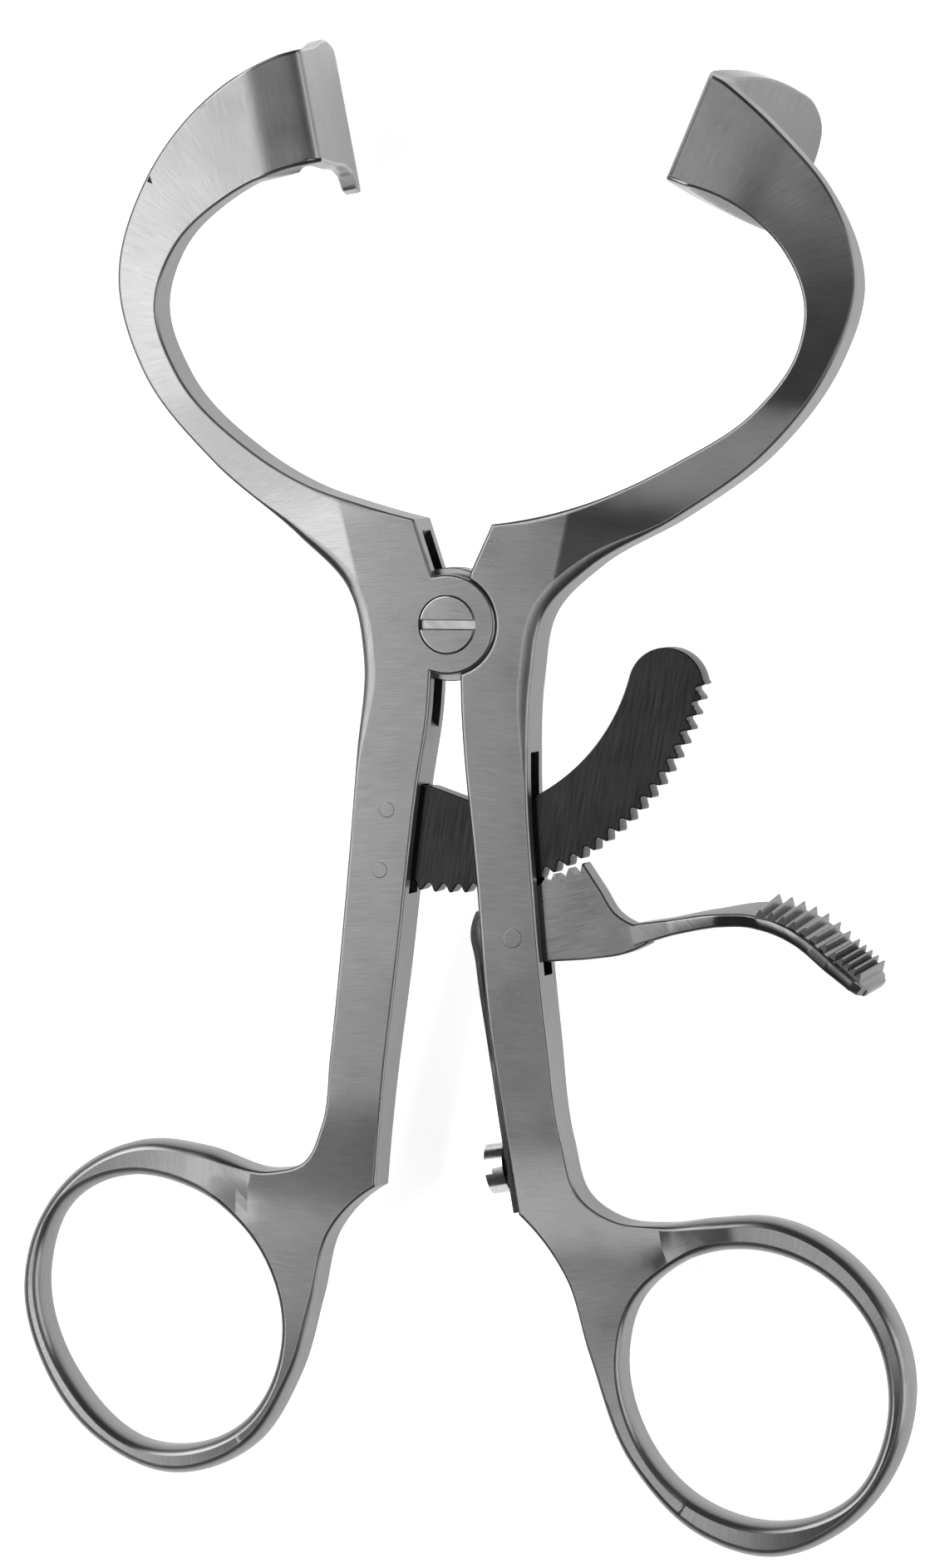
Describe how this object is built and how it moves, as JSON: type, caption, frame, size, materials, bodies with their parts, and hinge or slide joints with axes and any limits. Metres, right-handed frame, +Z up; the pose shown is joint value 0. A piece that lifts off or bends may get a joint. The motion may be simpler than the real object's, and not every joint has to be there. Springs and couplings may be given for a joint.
{
  "type": "mouth gag",
  "caption": "Ratchet mouth gag: two box-jointed bowed arms with bent bite plates, finger rings, a toothed arc rack and a sprung thumb lever that releases it",
  "frame": {"origin": "on the table, under the middle of the instrument as it lies on its back", "axes": "+Y towards the jaws, +X to the ratchet side, +Z up"},
  "size_m": [0.0984, 0.1614, 0.0296],
  "materials": {
    "forged_steel": "satin brushed stainless steel",
    "turned_steel": "turned stainless steel",
    "rack_steel": "brushed stainless steel",
    "spring_steel": "bright spring steel"
  },
  "bodies": {
    "left_side": {"left_arm": "forged_steel", "pivot_screw": "turned_steel", "ratchet_rack": "rack_steel", "rack_rivets": "turned_steel"},
    "right_side": {"right_arm": "forged_steel", "lever_pin": "turned_steel", "leaf_spring": "spring_steel", "spring_screw": "turned_steel"},
    "lever": {"release_lever": "rack_steel"}
  },
  "joints": [
    {"name": "arms_hinge", "type": "hinge", "parent": "left_side", "child": "right_side", "pos_m": [-0.00125, 0.01603, 0.01727], "axis": [-0.0151, -0.1581, 0.9873], "range_deg": [-10.2, 40.8]},
    {"name": "lever_hinge", "type": "hinge", "parent": "right_side", "child": "lever", "pos_m": [0.00603, -0.01646, 0.01218], "axis": [-0.0151, -0.1581, 0.9873], "range_deg": [-6, 7.6], "stiffness_Nm_per_rad": 0.08, "springref_deg": 7.6, "deforming": ["leaf_spring"]}
  ]
}
